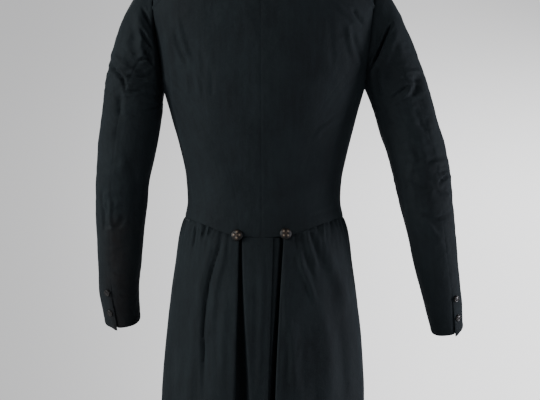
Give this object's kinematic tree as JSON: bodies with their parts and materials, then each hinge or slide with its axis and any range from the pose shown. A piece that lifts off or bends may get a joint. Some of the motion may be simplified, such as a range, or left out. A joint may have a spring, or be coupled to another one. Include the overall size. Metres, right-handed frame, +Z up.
{
  "type": "frock coat",
  "caption": "Frock coat of dark blue-black wool in its worn form, with fitted back, full pleated skirts, long sleeves and buttons at the back waist.",
  "frame": {"origin": "the neck point between the shoulders, at the height of the back neck seam's lower edge and on the wearer's centre line", "axes": "+Z up along the wearer's spine, -Y to the wearer's front, +X to the wearer's left"},
  "size_m": [0.6447, 0.3008, 1.0369],
  "materials": {
    "wool_cloth": "fine blue-black wool broadcloth with a short matt nap",
    "button_thread": "brown silk thread wound over a mould, with a slight sheen",
    "cuff_button": "small dark polished button"
  },
  "bodies": {
    "root": {"back_left": "wool_cloth", "back_right": "wool_cloth", "side_body_left": "wool_cloth", "side_body_right": "wool_cloth", "forepart_left": "wool_cloth", "forepart_right": "wool_cloth", "lapel_left": "wool_cloth", "lapel_right": "wool_cloth", "collar": "wool_cloth", "skirt_left": "wool_cloth", "skirt_right": "wool_cloth", "tail_left": "wool_cloth", "tail_right": "wool_cloth", "sleeve_top_left": "wool_cloth", "sleeve_under_left": "wool_cloth", "sleeve_top_right": "wool_cloth", "sleeve_under_right": "wool_cloth", "hip_button_left": "button_thread", "hip_button_right": "button_thread", "front_button_upper": "button_thread", "front_button_lower": "button_thread", "cuff_button_upper_left": "cuff_button", "cuff_button_lower_left": "cuff_button", "cuff_button_upper_right": "cuff_button", "cuff_button_lower_right": "cuff_button"}
  },
  "joints": []
}
